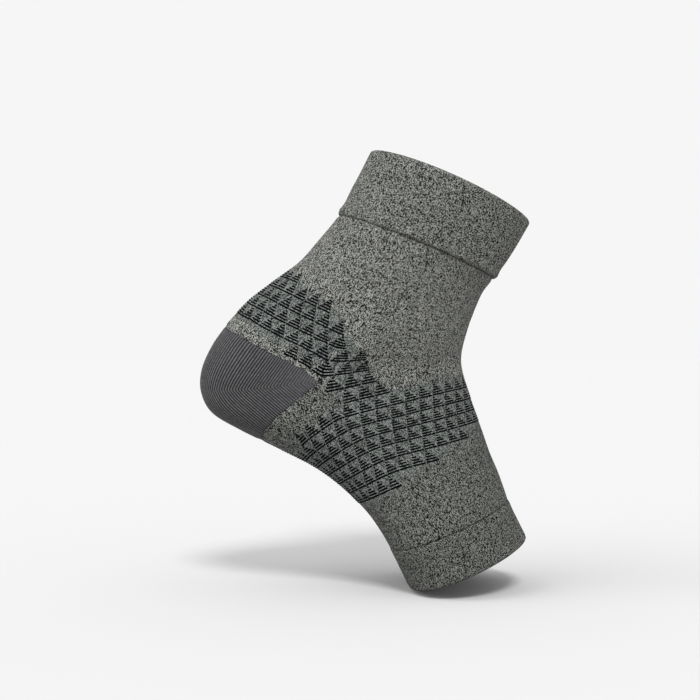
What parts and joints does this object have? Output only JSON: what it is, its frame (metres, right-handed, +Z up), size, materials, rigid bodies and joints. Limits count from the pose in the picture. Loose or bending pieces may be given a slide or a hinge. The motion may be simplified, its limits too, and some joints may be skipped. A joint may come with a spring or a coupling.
{
  "type": "arch support sleeve",
  "caption": "Knitted compression sleeve for ankle, heel and arch, open at leg and toes, with turned cuffs, ribbed heel pocket and a patterned support band.",
  "frame": {"origin": "the heel seat, on the inner face of the heel pocket at its rearmost point", "axes": "+X forwards from the heel to the toes, +Y across the foot, +Z up, with the leg leaning forward and the toe end low as worn"},
  "size_m": [0.151, 0.0876, 0.1987],
  "materials": {
    "heather_knit": "matt melange grey knit",
    "cuff_knit": "matt melange grey knit, double",
    "heel_knit": "matt dark grey ribbed knit",
    "band_knit": "matt grey knit with black triangles"
  },
  "bodies": {
    "root": {"ankle_cuff": "cuff_knit", "ankle_knit": "heather_knit", "achilles_band": "band_knit", "upper_heel_border": "heather_knit", "heel_pocket": "heel_knit", "lower_heel_border": "heather_knit", "arch_band": "band_knit", "foot_knit": "heather_knit", "foot_cuff": "cuff_knit"}
  },
  "joints": []
}
